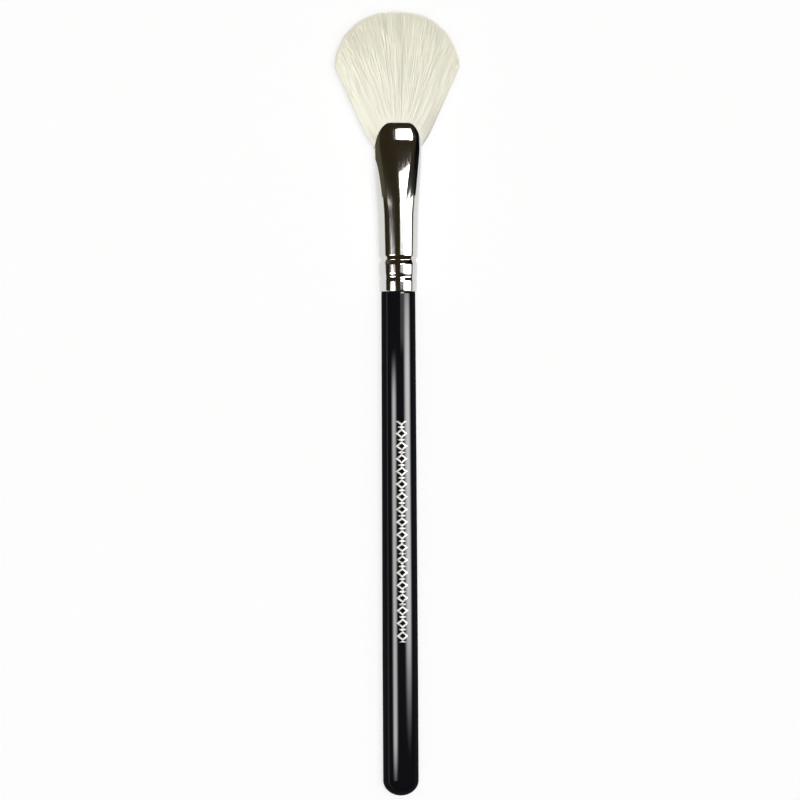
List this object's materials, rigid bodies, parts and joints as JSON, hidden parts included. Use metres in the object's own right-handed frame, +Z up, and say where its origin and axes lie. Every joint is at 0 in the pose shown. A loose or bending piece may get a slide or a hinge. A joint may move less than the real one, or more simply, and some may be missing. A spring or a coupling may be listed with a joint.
{
  "type": "fan makeup brush",
  "caption": "Slim makeup brush with a flat fan of soft pale hair, a bright pressed metal ferrule and a straight black lacquered handle.",
  "frame": {"origin": "centre of the brush's box, on the surface that it lies on", "axes": "+Y along the brush from the butt of the handle to the tuft, X across the fan, +Z up through its thickness"},
  "size_m": [0.0297, 0.1831, 0.0093],
  "materials": {
    "lacquered_wood": "gloss",
    "bright_metal": "polished",
    "pale_hair": "matte",
    "amber_resin": "gloss",
    "thread": "matte"
  },
  "bodies": {
    "root": {"handle": "lacquered_wood", "ferrule": "bright_metal", "hair_tuft": "pale_hair", "root_resin": "amber_resin", "binding_thread": "thread"}
  },
  "joints": []
}
